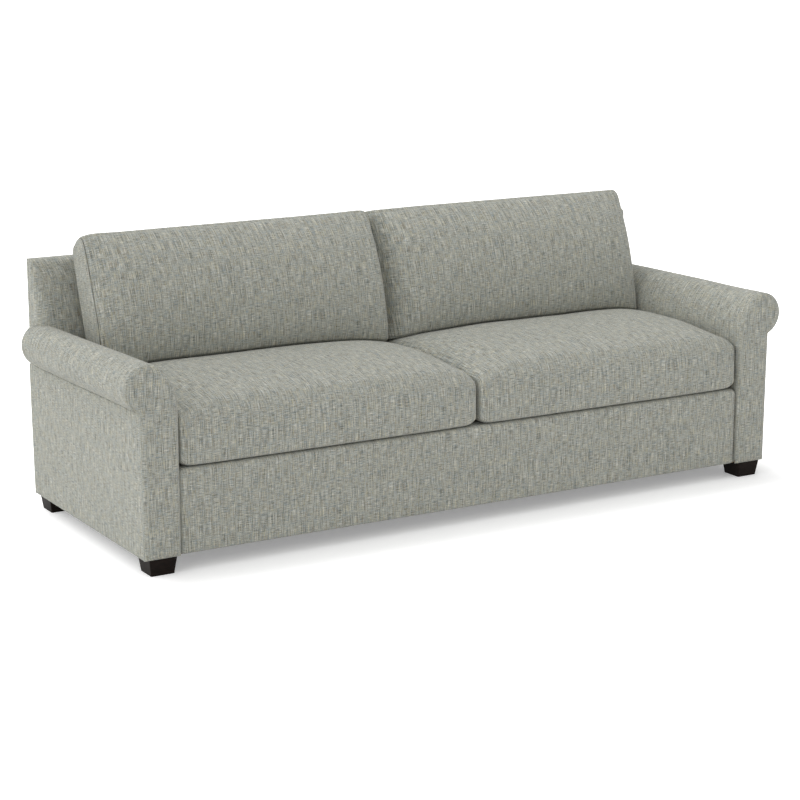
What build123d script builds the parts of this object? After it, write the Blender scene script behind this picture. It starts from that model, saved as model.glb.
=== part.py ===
from build123d import *
import math
import os

# Two-cushion roll-arm sofa, in millimetres.
# X runs to the right as seen from the front, Y to the back and Z up.
# The origin is on the floor, under the middle of the sofa.

# Outline of the upholstered body
half_width = 1157.0  # middle to the outer face of an arm panel
depth = 880.0  # front of the arms to the outside back
arm_width = 119.0  # outer panel to inner face of an arm
arm_height = 635.0
roll_radius = 73.0
roll_overhang = 49.0  # how far the roll stands out past the outer panel
roll_end_inset = 52.0  # outside back to the rear end of the roll
arm_curve_height = 498.0  # where the inner arm face starts to lean outwards
back_height = 822.0
back_top_depth = 45.0
back_rake = 17.6  # degrees, front face of the inside back
back_edge_radius = 18.0
deck_height = 312.0  # platform under the seat cushions
deck_lip = 60.0  # front border cloth turned over onto the deck
border_radius = 14.0

# Cloth, padding and clearances
cloth = 3.0  # upholstery fabric with its lining
soft_gap = 0.3  # room between soft or curved faces
front_panel_pad = 14.0  # padded facing on the front of an arm
front_panel_radius = 7.0
border_pad = 10.0
arm_pad = 15.0
back_pad = 18.0
back_top_pad = 12.0
deck_pad = 17.0
webbing = 2.0
dust_cloth = 1.0

# Hardwood and plywood frame
board = 25.0
post_board = 22.0  # arm front post, a shaped plywood board
fibre_board = 4.0
top_rail_board = 28.0
top_rail_rise = 15.0  # top of the arm rail above the groove under the roll
back_post_width = 40.0
back_post_foot = 80.0
lower_rail_bottom = 325.0
lower_rail_height = 60.0
lower_rail_depth = 45.0
back_top_rail_height = 50.0
centre_post_width = 40.0
block_leg = 90.0
block_height = 60.0
block_bottom = 140.0

# Feet and hardware
foot_height = 51.0
foot_bottom = 75.0
foot_top = 89.0
foot_edge = 3.0
foot_side_inset = 61.5  # outer panel to the middle of a foot
foot_front_inset = 54.0
foot_rear_inset = 45.0
bolt_diameter = 8.0
bolt_in_foot = 32.0
bolt_past_nut = 6.0
nut_barrel = 11.0
nut_barrel_length = 15.0
nut_flange = 22.0
nut_flange_thickness = 2.0
hole_gap = 0.2  # radial room round bolts, screws and spring wire
screw_diameter = 5.0
screw_length = 60.0
screw_bite = 20.0  # length of a screw in the rail
screw_inset = 30.0  # corner to the middle of a screw, along a corner block
screw_head = 10.0
screw_head_height = 3.0

# Sinuous seat springs and their clips
spring_count = 14
spring_wire = 4.0
spring_half_width = 30.0
spring_pitch = 48.0  # between two crossbars
spring_bend = 18.0
spring_bend_limit = 0.45  # largest bend, as a share of the step between crossbars
clip_width = 14.0
clip_depth = 12.0
clip_height = 8.0

# Back webbing
strap_count = 12
strap_width = 50.0
strap_lap = 40.0  # length of strap tacked to each rail

# Seat cushions
seat_front_inset = 12.0  # arm front to cushion front
seat_end_gap = 5.0  # cushion end to arm
seat_middle_gap = 4.0  # cushion end to the middle of the sofa
seat_rear_gap = 4.0
seat_edge_height = 478.0  # top of the cushion at its ends
seat_crown = 16.0  # rise of the top at the middle of the cushion's length
seat_arch = 26.0  # rise of the top between front and rear
seat_corner_radius = 36.0
seat_rear_rise = 5.0  # rear top edge above the front one
seat_front_swell = 5.0
seat_draw_in = 7.0  # ends of the front drawn back from its middle
seat_shoulder = 140.0  # distance from an end to the shoulder of the crown
seat_shoulder_rise = 0.75  # share of the crown reached there
seat_end_arch = 0.6  # arch at the ends, as a share of the arch at the middle

# Back cushions
back_cushion_rake = 18.2  # degrees
back_cushion_seat = 318.0  # outside back to the front seam, at the height below
back_cushion_seam_z = 490.0
seat_fall = 4.9  # drop of the seat tops from their peak to where the back cushions stand
back_cushion_rise = 450.0  # along the rake, from that height to the top seam
back_cushion_drop = 90.0  # run of the form below that height, cut off flat
back_cushion_boxing = 116.0
back_cushion_front_swell = 44.0
back_cushion_top_arch = 6.0
back_cushion_side_swell = 4.0
back_cushion_corner = 30.0
back_cushion_end_gap = 1.0  # swollen side to arm
back_cushion_middle_gap = 0.5  # swollen side to the middle of the sofa
back_cushion_lean_gap = 0.6  # swollen rear face to the inside back
swell_inset_x = 250.0  # from the seam to the flat of the crown, sideways
swell_inset_s = 190.0  # from the seam to the flat of the crown, up and down

# Zips in the cushion covers
zip_length = 620.0
zip_width = 9.0

# Places worked out from the sizes above
front_y = -depth / 2
rear_y = depth / 2
back_cushion_seam_y = rear_y - back_cushion_seat
inner_x = half_width - arm_width
roll_x = half_width + roll_overhang - roll_radius
roll_z = arm_height - roll_radius
roll_end_y = rear_y - roll_end_inset
groove_z = roll_z - math.sqrt(roll_radius**2 - (half_width - roll_x) ** 2)
frame_in_x = inner_x + cloth + soft_gap
frame_out_x = half_width - cloth - soft_gap
wood_z = foot_height + dust_cloth
base_top_z = wood_z + board
rail_top_z = deck_height - cloth - deck_pad - clip_height
border_y = front_y + front_panel_pad
rail_front_y = border_y + cloth + border_pad
rail_back_y = rail_front_y + board
post_back_y = border_y + post_board
rear_in_y = rear_y - cloth
rear_rail_y = rear_in_y - board
deck_x = inner_x - soft_gap
seam_y = border_y + deck_lip
pad_bottom_z = deck_height - cloth - deck_pad
back_stack = cloth + back_pad + webbing
back_wood_top = back_height - cloth - back_top_pad
post_in_x = frame_out_x - back_post_width
top_rail_top_z = groove_z + top_rail_rise
top_rail_bottom_z = top_rail_top_z - top_rail_board
arm_board_x = frame_in_x + arm_pad
arm_rail_x = arm_board_x + fibre_board
lower_rail_top = lower_rail_bottom + lower_rail_height
top_rail_under = back_wood_top - back_top_rail_height
far = 2 * (half_width + depth)


def back_y(z, inset):
    """Y of the raked inside back at height z, inset square to its face."""
    lean = math.radians(back_rake)
    return rear_y - back_top_depth - (back_height - z) * math.tan(lean) + inset / math.cos(lean)


def block(x0, x1, y0, y1, z0, z1):
    return Pos((x0 + x1) / 2, (y0 + y1) / 2, (z0 + z1) / 2) * Box(x1 - x0, y1 - y0, z1 - z0)


def along_y(face, y0, y1):
    """Extrude a face drawn in X and Z from y0 to y1."""
    plane = Plane(origin=(0, y1, 0), x_dir=(1, 0, 0), z_dir=(0, -1, 0))
    return extrude(plane * face, amount=y1 - y0)


def along_x(face, x0, x1):
    """Extrude a face drawn in Y and Z from x0 to x1."""
    plane = Plane(origin=(x0, 0, 0), x_dir=(0, 1, 0), z_dir=(1, 0, 0))
    return extrude(plane * face, amount=x1 - x0)


def outline(*points):
    return make_face(Polyline(*points, close=True))


def rounded(face, point, radius):
    """Round the corner of a face that lies at the point."""
    corner = min(face.vertices(), key=lambda v: math.dist((v.X, v.Y), point))
    return fillet(corner, radius)


def mirrored(shape):
    return mirror(shape, about=Plane.YZ)


def save(name, shape):
    export_step(shape, f"parts/{name}.step")


def save_pair(name, right):
    save(f"right_{name}", right)
    save(f"left_{name}", mirrored(right))


def arm_profile(inset):
    """Section of an arm in X and Z: straight inner face, lean-out curve, roll and outer panel."""
    span = roll_x - inner_x
    rise = roll_z - arm_curve_height
    curve = (span**2 + rise**2 - roll_radius**2) / (2 * (span - roll_radius))
    curve_x = inner_x + curve
    reach = math.hypot(roll_x - curve_x, rise)
    r = roll_radius - inset
    meet = (roll_x + r * (roll_x - curve_x) / reach, roll_z + r * rise / reach)
    half = (math.atan2(rise, curve_x - roll_x)) / 2
    bend = (curve_x - (curve - inset) * math.cos(half), arm_curve_height + (curve - inset) * math.sin(half))
    x0 = inner_x + inset
    x1 = half_width - inset
    z0 = foot_height + inset
    groove = (x1, roll_z - math.sqrt(r**2 - (x1 - roll_x) ** 2))
    low = math.radians(45)
    edges = [
        Line((x0, z0), (x0, arm_curve_height)),
        ThreePointArc((x0, arm_curve_height), bend, meet),
        ThreePointArc(meet, (roll_x, roll_z + r), (roll_x + r, roll_z)),
        ThreePointArc(
            (roll_x + r, roll_z), (roll_x + r * math.cos(low), roll_z - r * math.sin(low)), groove
        ),
        Line(groove, (x1, z0)),
        Line((x1, z0), (x0, z0)),
    ]
    return make_face(edges)


os.makedirs("parts", exist_ok=True)

# Space taken by the inside back, which the arm pieces stop at
back_space = along_x(
    outline(
        (back_y(rail_top_z, -soft_gap), rail_top_z),
        (back_y(far, -soft_gap), far),
        (back_y(far, 0) + far, far),
        (back_y(far, 0) + far, rail_top_z),
    ),
    -half_width - soft_gap,
    half_width + soft_gap,
)

# Arm frames: base board, side rail, shaped front post and top rail
feet_at = [
    (half_width - foot_side_inset, front_y + foot_front_inset),
    (half_width - foot_side_inset, rear_y - foot_rear_inset),
]
base_board = block(frame_in_x, frame_out_x, post_back_y, rear_in_y, wood_z, base_top_z)
for x, y in feet_at:
    base_board -= Pos(x, y, wood_z) * Cylinder(nut_barrel / 2 + hole_gap, far)
save_pair("arm_base_board", base_board)

front_post = along_y(arm_profile(cloth + soft_gap), border_y, post_back_y)
front_post -= block(0, far, front_y, rear_y, 0, wood_z)
save_pair("arm_front_post", front_post)

back_post_side = outline(
    (rear_in_y - back_post_foot, base_top_z),
    (rear_in_y, base_top_z),
    (rear_in_y, back_wood_top),
    (back_y(back_wood_top, back_stack), back_wood_top),
    (back_y(lower_rail_bottom, back_stack), lower_rail_bottom),
)
back_post = along_x(back_post_side, post_in_x, frame_out_x)
save_pair("back_post", back_post)

arm_top_rail = block(arm_rail_x, frame_out_x, post_back_y, rear_in_y, top_rail_bottom_z, top_rail_top_z)
rail_way = block(
    arm_rail_x - soft_gap,
    far,
    post_back_y,
    rear_in_y,
    top_rail_bottom_z - soft_gap,
    top_rail_top_z + soft_gap,
)
arm_top_rail -= along_x(
    outline(
        (back_y(0, back_stack), 0),
        (back_y(far, back_stack), far),
        (back_y(far, 0) + far, far),
        (back_y(far, 0) + far, 0),
    ),
    0,
    far,
)
save_pair("arm_top_rail", arm_top_rail)

# Corner blocks with two screws each, one into each rail
block_top = block_bottom + block_height
screw_z = (block_bottom + block_top) / 2
screw_in_block = screw_length - screw_bite
side_rail = block(frame_in_x, frame_in_x + board, post_back_y, rear_rail_y, base_top_z, rail_top_z)
front_rail = block(-frame_in_x, frame_in_x, rail_front_y, rail_back_y, wood_z, rail_top_z)
rear_rail = block(-post_in_x, post_in_x, rear_rail_y, rear_in_y, base_top_z, rail_top_z)


def screw(gap):
    """A screw along +Z with its head below the origin, or its hole where gap is given."""
    shank = Pos(0, 0, screw_length / 2) * Cylinder(screw_diameter / 2 + gap, screw_length + 2 * gap)
    head = Pos(0, 0, -screw_head_height / 2) * Cylinder(screw_head / 2 + gap, screw_head_height)
    return shank + head


screws = []
corner_blocks = []
for rail_y, inward in ((rail_back_y, 1), (rear_rail_y, -1)):
    corner = (frame_in_x, rail_y)
    solid = extrude(
        Pos(0, 0, block_bottom)
        * outline(corner, (frame_in_x - block_leg, rail_y), (frame_in_x, rail_y + inward * block_leg)),
        amount=block_height,
    )
    seats = [
        Pos(frame_in_x - screw_inset, rail_y + inward * screw_in_block, screw_z) * Rot(90 * inward, 0, 0),
        Pos(frame_in_x - screw_in_block, rail_y + inward * screw_inset, screw_z + screw_head)
        * Rot(0, 90, 0),
    ]
    for seat in seats:
        recess = Pos(0, 0, -block_leg / 2) * Cylinder(screw_head / 2 + hole_gap, block_leg)
        hole = seat * (screw(hole_gap) + recess)
        solid -= hole
        side_rail -= hole
        front_rail = front_rail - hole - mirrored(hole)
        rear_rail = rear_rail - hole - mirrored(hole)
        screws += [seat * screw(0), mirrored(seat * screw(0))]
    corner_blocks += [solid, mirrored(solid)]
save_pair("side_rail", side_rail)
save("front_rail", front_rail)
save("rear_rail", rear_rail)
save("corner_blocks", Compound(children=corner_blocks))
save("corner_block_screws", Compound(children=screws))
save("centre_stretcher", block(-board / 2, board / 2, rail_back_y, rear_rail_y, base_top_z, rail_top_z))

# Back frame between the posts
save(
    "back_top_rail",
    along_x(
        outline(
            (back_y(top_rail_under, back_stack), top_rail_under),
            (rear_in_y, top_rail_under),
            (rear_in_y, back_wood_top),
            (back_y(back_wood_top, back_stack), back_wood_top),
        ),
        -post_in_x,
        post_in_x,
    ),
)
save(
    "back_lower_rail",
    along_x(
        outline(
            (back_y(lower_rail_bottom, back_stack), lower_rail_bottom),
            (back_y(lower_rail_bottom, back_stack) + lower_rail_depth, lower_rail_bottom),
            (back_y(lower_rail_bottom, back_stack) + lower_rail_depth, lower_rail_top),
            (back_y(lower_rail_top, back_stack), lower_rail_top),
        ),
        -post_in_x,
        post_in_x,
    ),
)
save(
    "centre_back_post",
    along_x(
        outline(
            (back_y(lower_rail_top, back_stack), lower_rail_top),
            (rear_in_y, lower_rail_top),
            (rear_in_y, top_rail_under),
            (back_y(top_rail_under, back_stack), top_rail_under),
        ),
        -centre_post_width / 2,
        centre_post_width / 2,
    ),
)

# Sinuous springs: one zigzag of wire from the front rail to the rear rail, repeated across the seat
wire_z = rail_top_z + clip_height / 2
spring_start = rail_front_y + board / 2
spring_end = rear_rail_y + board / 2
bar_count = round((spring_end - spring_start) / spring_pitch) + 1
bar_step = (spring_end - spring_start) / (bar_count - 1)
zigzag = []
for bar in range(bar_count):
    side = 1 if bar % 2 == 0 else -1
    y = spring_start + bar * bar_step
    zigzag += [(-side * spring_half_width, y, wire_z), (side * spring_half_width, y, wire_z)]
wire_path = FilletPolyline(*zigzag, radius=min(spring_bend, spring_bend_limit * bar_step))
spring = sweep(wire_path.location_at(0) * Circle(spring_wire / 2), path=wire_path)
spring_step = 2 * frame_in_x / spring_count
spring_at = [(n - (spring_count - 1) / 2) * spring_step for n in range(spring_count)]
save("seat_springs", Compound(children=[Pos(x, 0, 0) * spring for x in spring_at]))
clip = Box(clip_width, clip_depth, clip_height)
clip -= Rot(0, 90, 0) * Cylinder(spring_wire / 2 + hole_gap, far)
clips = [Pos(x, y, wire_z) * clip for x in spring_at for y in (spring_start, spring_end)]
save("spring_clips", Compound(children=clips))

# Feet: tapered blocks held by hanger bolts in tee nuts
foot_sole = RectangleRounded(foot_bottom, foot_bottom, foot_edge).face()
foot_head = Pos(0, 0, foot_height) * RectangleRounded(foot_top, foot_top, foot_edge).face()
foot = loft([foot_sole, foot_head])
foot -= Pos(0, 0, foot_height) * Cylinder(bolt_diameter / 2 + hole_gap, 2 * (bolt_in_foot + hole_gap))
bolt_top = base_top_z + nut_flange_thickness + bolt_past_nut
bolt_bottom = foot_height - bolt_in_foot
bolt = Pos(0, 0, (bolt_top + bolt_bottom) / 2) * Cylinder(bolt_diameter / 2, bolt_top - bolt_bottom)
nut = Pos(0, 0, base_top_z - nut_barrel_length / 2) * Cylinder(nut_barrel / 2, nut_barrel_length)
nut += Pos(0, 0, base_top_z + nut_flange_thickness / 2) * Cylinder(nut_flange / 2, nut_flange_thickness)
nut -= Pos(0, 0, base_top_z) * Cylinder(bolt_diameter / 2 + hole_gap, far)
dust_cover = block(-frame_out_x, frame_out_x, rail_front_y, rear_in_y, foot_height, wood_z)
bolts = []
nuts = []
for place, (x, y) in zip(("front", "rear"), feet_at):
    save(f"{place}_right_foot", Pos(x, y, 0) * foot)
    save(f"{place}_left_foot", Pos(-x, y, 0) * foot)
    for side_x in (x, -x):
        bolts.append(Pos(side_x, y, 0) * bolt)
        nuts.append(Pos(side_x, y, 0) * nut)
        dust_cover -= Pos(side_x, y, wood_z) * Cylinder(nut_barrel / 2 + hole_gap, far)
save("foot_bolts_and_nuts", Compound(children=bolts + nuts))
save("dust_cover", dust_cover)

# Deck under the seat cushions, and the padded border on the front rail
deck_rear_y = back_y(pad_bottom_z, -soft_gap)
pad_top_z = deck_height - cloth
save("deck_padding", block(-deck_x, deck_x, seam_y, deck_rear_y, pad_bottom_z, pad_top_z))
save("deck_cloth", block(-deck_x, deck_x, seam_y, deck_rear_y, pad_top_z, deck_height))


def border_section(inset, radius, bottom):
    y0 = border_y + inset
    z1 = deck_height - inset
    face = outline((y0, bottom), (seam_y, bottom), (seam_y, z1), (y0, z1))
    return rounded(face, (y0, z1), radius)


border_cover = border_section(0, border_radius, foot_height) - border_section(
    cloth, border_radius - cloth, foot_height - cloth
)
save("front_border_cover", along_x(border_cover, -deck_x, deck_x))
border_padding = border_section(cloth + soft_gap, border_radius - cloth - soft_gap, wood_z) - outline(
    (rail_front_y, 0), (far, 0), (far, pad_bottom_z), (rail_front_y, pad_bottom_z)
)
save("front_border_padding", along_x(border_padding, -deck_x, deck_x))

# Arm upholstery: padding, inside cover over the roll, outside panel and padded front facing
arm_inside_padding = block(frame_in_x, arm_board_x, post_back_y, rear_y, rail_top_z, arm_curve_height)
save_pair("arm_inside_padding", arm_inside_padding - back_space)
arm_inside_board = block(arm_board_x, arm_rail_x, post_back_y, rear_y, rail_top_z, top_rail_top_z)
save_pair("arm_inside_board", arm_inside_board - back_space)
roll_fill = along_y(arm_profile(cloth + soft_gap), post_back_y, roll_end_y - cloth - soft_gap)
roll_fill -= block(0, half_width + soft_gap, front_y, rear_y, 0, top_rail_top_z)
roll_fill -= block(0, far, front_y, rear_y, 0, groove_z)
save_pair("arm_roll_padding", roll_fill - back_space)
arm_skin = along_y(arm_profile(0), border_y, roll_end_y)
arm_skin -= along_y(arm_profile(cloth), front_y, roll_end_y - cloth)
arm_skin -= block(inner_x + cloth, half_width, front_y, rear_y, 0, groove_z + cloth)
arm_skin -= block(0, far, front_y, rear_y, 0, rail_top_z)
save_pair("arm_inside_cover", arm_skin - back_space)
save_pair(
    "arm_outside_panel",
    block(half_width - cloth, half_width, border_y, rear_in_y, foot_height, groove_z - soft_gap),
)
facing = along_y(arm_profile(0), front_y, border_y)
facing_edges = facing.faces().sort_by(Axis.Y)[0].edges()
save_pair("arm_front_panel", fillet(facing_edges, front_panel_radius))

# Back upholstery: webbing, padding, inside cover, end panels and outside back
strap_low = lower_rail_top - strap_lap
strap_high = top_rail_under + strap_lap
strap_inset = cloth + back_pad
strap_side = outline(
    (back_y(strap_low, strap_inset), strap_low),
    (back_y(strap_high, strap_inset), strap_high),
    (back_y(strap_high, back_stack), strap_high),
    (back_y(strap_low, back_stack), strap_low),
)
strap = along_x(strap_side, -strap_width / 2, strap_width / 2)
strap_step = 2 * post_in_x / strap_count
strap_at = [(n - (strap_count - 1) / 2) * strap_step for n in range(strap_count)]
save("back_webbing", Compound(children=[Pos(x, 0, 0) * strap for x in strap_at]))


def back_section(inset, bottom):
    """Side outline of the inside back, with its rounded top front edge, inset from the cloth."""
    top = back_height - inset
    face = outline(
        (back_y(bottom, inset), bottom),
        (back_y(top, inset), top),
        (rear_in_y, top),
        (rear_in_y, bottom),
    )
    return rounded(face, (back_y(top, inset), top), back_edge_radius - inset)


back_hollow = outline(
    (back_y(0, strap_inset), 0),
    (back_y(back_wood_top, strap_inset), back_wood_top),
    (far, back_wood_top),
    (far, 0),
)
both_rails = rail_way + mirrored(rail_way)
back_padding = along_x(back_section(cloth, pad_bottom_z) - back_hollow, -frame_out_x, frame_out_x)
save("back_padding", back_padding - both_rails)
back_skin = along_x(back_section(0, pad_bottom_z) - back_section(cloth, 0), -frame_out_x, frame_out_x)
save("back_inside_cover", back_skin - both_rails)
save_pair("back_end_panel", along_x(back_section(0, groove_z), half_width - cloth, half_width))
outside_back = block(-half_width, half_width, rear_in_y, rear_y, foot_height, back_height)
save("back_outside_panel", outside_back)

# Seat cushions: a crowned loft with a rounded front edge. The cover has its fibre wrap sewn in,
# which swells it to the crown, and holds a plain foam core behind a zip.
seat_x0 = seat_middle_gap
seat_x1 = inner_x - seat_end_gap
seat_y0 = front_y + seat_front_inset
seat_y1 = back_y(deck_height, 0) - seat_rear_gap
seat_z0 = deck_height + soft_gap


def seat_section(x, share, inset):
    """Side section of a seat cushion; share goes from 0 at an end to 1 where the top is highest."""
    y0 = seat_y0 + inset + seat_draw_in * (1 - share)
    y1 = seat_y1 - inset
    z0 = seat_z0 + inset
    top = seat_edge_height + seat_crown * share - inset
    r = seat_corner_radius - inset
    slant = r * (1 - math.sqrt(0.5))
    peak = ((y0 + y1) / 2, top + seat_arch * (seat_end_arch + (1 - seat_end_arch) * share))
    edges = [
        Line((y1, z0), (y0, z0)),
        ThreePointArc((y0, z0), (y0 - seat_front_swell, (z0 + top - r) / 2), (y0, top - r)),
        ThreePointArc((y0, top - r), (y0 + slant, top - slant), (y0 + r, top)),
        ThreePointArc((y0 + r, top), peak, (y1, top + seat_rear_rise)),
        Line((y1, top + seat_rear_rise), (y1, z0)),
    ]
    plane = Plane(origin=(x, 0, 0), x_dir=(0, 1, 0), z_dir=(1, 0, 0))
    return plane * make_face(edges)


def seat_core(inset):
    """Foam block inside a seat cushion, with the section of the cushion's ends."""
    return extrude(seat_section(seat_x0 + inset, 0.0, inset), amount=seat_x1 - seat_x0 - 2 * inset)


seat_stations = [
    (seat_x0, 0.0),
    (seat_x0 + seat_shoulder, seat_shoulder_rise),
    ((seat_x0 + seat_x1) / 2, 1.0),
    (seat_x1 - seat_shoulder, seat_shoulder_rise),
    (seat_x1, 0.0),
]
seat_form = loft([seat_section(x, share, 0) for x, share in seat_stations])

seat_middle = (seat_x0 + seat_x1) / 2
seat_zip_z = (seat_z0 + seat_edge_height) / 2
seat_slot = block(
    seat_middle - zip_length / 2,
    seat_middle + zip_length / 2,
    seat_y1 - 2 * cloth,
    seat_y1 + cloth,
    seat_zip_z - zip_width / 2,
    seat_zip_z + zip_width / 2,
)
seat_zip = block(
    seat_middle - zip_length / 2 + soft_gap,
    seat_middle + zip_length / 2 - soft_gap,
    seat_y1 - cloth + soft_gap,
    seat_y1 - soft_gap,
    seat_zip_z - zip_width / 2 + soft_gap,
    seat_zip_z + zip_width / 2 - soft_gap,
)
save_pair("seat_cushion_cover", seat_form - seat_core(cloth) - seat_slot)
save_pair("seat_cushion_core", seat_core(cloth + soft_gap))
save_pair("seat_cushion_zip", seat_zip)

# Back cushions: a boxed cushion leaning back, crowned front and rear, flat where it stands on the seat
side_reach = 2 * back_cushion_side_swell
cushion_x0 = back_cushion_middle_gap + side_reach
cushion_x1 = inner_x - back_cushion_end_gap - side_reach
back_cushion_bottom = seat_edge_height + seat_crown + seat_arch - seat_fall
lean = math.radians(back_cushion_rake)
seam_plane = Plane(
    origin=(0, back_cushion_seam_y, back_cushion_seam_z),
    x_dir=(1, 0, 0),
    z_dir=(0, -math.cos(lean), math.sin(lean)),
)


def cushion_outline(out, inset_x, inset_s, swell, arch):
    """Outline of a back cushion in the plane that lies out in front of the front seam."""
    x0 = cushion_x0 + inset_x
    x1 = cushion_x1 - inset_x
    s0 = -back_cushion_drop + inset_s
    s1 = back_cushion_rise - inset_s
    r = back_cushion_corner * (1 - inset_s / back_cushion_rise)
    slant = r * (1 - math.sqrt(0.5))
    mid = (s0 + s1 - r) / 2
    edges = [
        Line((x0, s0), (x1, s0)),
        ThreePointArc((x1, s0), (x1 + swell, mid), (x1, s1 - r)),
        ThreePointArc((x1, s1 - r), (x1 - slant, s1 - slant), (x1 - r, s1)),
        ThreePointArc((x1 - r, s1), ((x0 + x1) / 2, s1 + arch), (x0 + r, s1)),
        ThreePointArc((x0 + r, s1), (x0 + slant, s1 - slant), (x0, s1 - r)),
        ThreePointArc((x0, s1 - r), (x0 - swell, mid), (x0, s0)),
    ]
    return seam_plane.offset(out) * make_face(edges)


# Swelling of a face: share of the way in from the seam, and share of the rise reached there
swell_steps = [(0.0, 0.0), (0.3, 0.55), (0.65, 0.87), (1.0, 1.0)]


def lean_room(s):
    """Depth from the front seam to the inside back, square to the seam, at s up the rake."""
    slope = math.tan(math.radians(back_rake))
    gap = back_y(back_cushion_seam_z + s * math.cos(lean), -back_cushion_lean_gap)
    gap -= back_cushion_seam_y + s * math.sin(lean)
    return gap / (math.cos(lean) + math.sin(lean) * slope)


# The rear face swells until one of its steps leans on the inside back
back_cushion_rear_swell = min(
    (lean_room(s) - back_cushion_boxing) / rise
    for share, rise in swell_steps[1:]
    for s in (back_cushion_rise - swell_inset_s * share, swell_inset_s * share - back_cushion_drop)
)


def crown(seam, height):
    """Swelling of the front or rear face, from its seam outwards; height is negative at the rear."""
    return loft(
        [
            cushion_outline(
                seam + height * rise,
                swell_inset_x * share,
                swell_inset_s * share,
                back_cushion_side_swell,
                back_cushion_top_arch,
            )
            for share, rise in swell_steps
        ]
    )


def back_cushion_core(inset):
    """Plain fill of a back cushion between its two seams, flat underneath."""
    face = cushion_outline(-inset, inset, inset, back_cushion_side_swell, back_cushion_top_arch)
    fill = extrude(face, amount=2 * inset - back_cushion_boxing)
    return fill - block(-far, far, -far, far, -far, back_cushion_bottom + inset)


swell = back_cushion_side_swell
back_cushion_form = loft(
    [
        cushion_outline(0, 0, 0, swell, back_cushion_top_arch),
        cushion_outline(-back_cushion_boxing / 2, -swell, -swell, swell, back_cushion_top_arch),
        cushion_outline(-back_cushion_boxing, 0, 0, swell, back_cushion_top_arch),
    ]
)
back_cushion_form += crown(0, back_cushion_front_swell)
back_cushion_form += crown(-back_cushion_boxing, -back_cushion_rear_swell)
back_cushion_form -= block(-far, far, -far, far, -far, back_cushion_bottom)
cushion_middle = (cushion_x0 + cushion_x1) / 2
zip_y = back_cushion_seam_y + back_cushion_boxing / 2
back_slot = block(
    cushion_middle - zip_length / 2,
    cushion_middle + zip_length / 2,
    zip_y - zip_width / 2,
    zip_y + zip_width / 2,
    back_cushion_bottom - cloth,
    back_cushion_bottom + 2 * cloth,
)
back_zip = block(
    cushion_middle - zip_length / 2 + soft_gap,
    cushion_middle + zip_length / 2 - soft_gap,
    zip_y - zip_width / 2 + soft_gap,
    zip_y + zip_width / 2 - soft_gap,
    back_cushion_bottom + soft_gap,
    back_cushion_bottom + cloth - soft_gap,
)
save_pair("back_cushion_cover", back_cushion_form - back_cushion_core(cloth) - back_slot)
save_pair("back_cushion_core", back_cushion_core(cloth + soft_gap))
save_pair("back_cushion_zip", back_zip)
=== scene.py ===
import bpy
import bmesh
import math
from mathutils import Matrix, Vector, noise


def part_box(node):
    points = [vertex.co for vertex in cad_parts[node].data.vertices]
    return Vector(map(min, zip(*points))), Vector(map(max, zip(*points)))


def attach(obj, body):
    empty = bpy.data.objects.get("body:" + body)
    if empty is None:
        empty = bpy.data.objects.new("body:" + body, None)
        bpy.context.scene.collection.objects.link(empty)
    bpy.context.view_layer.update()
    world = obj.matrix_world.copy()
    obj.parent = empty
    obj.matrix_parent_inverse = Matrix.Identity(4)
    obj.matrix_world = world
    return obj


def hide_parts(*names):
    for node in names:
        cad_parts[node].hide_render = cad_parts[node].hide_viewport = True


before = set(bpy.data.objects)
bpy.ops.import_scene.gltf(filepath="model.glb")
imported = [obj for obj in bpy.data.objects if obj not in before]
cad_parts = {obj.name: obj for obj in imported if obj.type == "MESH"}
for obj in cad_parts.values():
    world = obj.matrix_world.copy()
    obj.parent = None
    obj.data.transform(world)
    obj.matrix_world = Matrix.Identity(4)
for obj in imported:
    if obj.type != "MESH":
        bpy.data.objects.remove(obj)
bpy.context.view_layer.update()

# Camera: stands in front of the left arm, above seat height, and looks down over the sofa.
# Its place and lens come from the sofa's edges in the photograph.
camera_data = bpy.data.cameras.new("camera")
camera_data.sensor_width = 36.0
camera_data.lens = 95.56
camera_data.clip_end = 200.0
camera = bpy.data.objects.new("camera", camera_data)
camera.location = (-3.5208, -5.8895, 1.9097)
camera.rotation_euler = (math.radians(76.89), 0.0, math.radians(-30.59))
bpy.context.collection.objects.link(camera)
bpy.context.scene.camera = camera
bpy.context.scene.view_settings.view_transform = "Standard"

# Studio: a white paper floor, white walls that are bright behind on the left, and one lamp above.
# The paper is seen as white, with a painted shade in an oblong under the sofa, where the sofa's real soft
# shadow also shows.


def linear(code):
    """Linear colour of an sRGB hex value."""
    parts = [int(code[i : i + 2], 16) / 255 for i in (0, 2, 4)]
    return [c / 12.92 if c <= 0.04045 else ((c + 0.055) / 1.055) ** 2.4 for c in parts] + [1.0]


def add(tree, kind, links=None, values=None, **settings):
    """Add a node: settings go on the node, values on its sockets, and links join other sockets to it."""
    node = tree.nodes.new(kind)
    for key, value in settings.items():
        setattr(node, key, value)
    for key, value in (values or {}).items():
        node.inputs[key].default_value = value
    for key, source in (links or {}).items():
        tree.links.new(source, node.inputs[key])
    return node


def seen_rays(tree):
    """1 for what is seen, also in metal or through glass, and 0 for light on its way to the sofa."""
    path = add(tree, "ShaderNodeLightPath")
    glossy = path.outputs["Is Glossy Ray"]
    mirrored = add(tree, "ShaderNodeMath", {0: glossy, 1: path.outputs["Is Transmission Ray"]})
    direct = path.outputs["Is Camera Ray"]
    seen = add(tree, "ShaderNodeMath", {0: direct, 1: mirrored.outputs[0]}, use_clamp=True)
    return seen.outputs[0]
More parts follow.
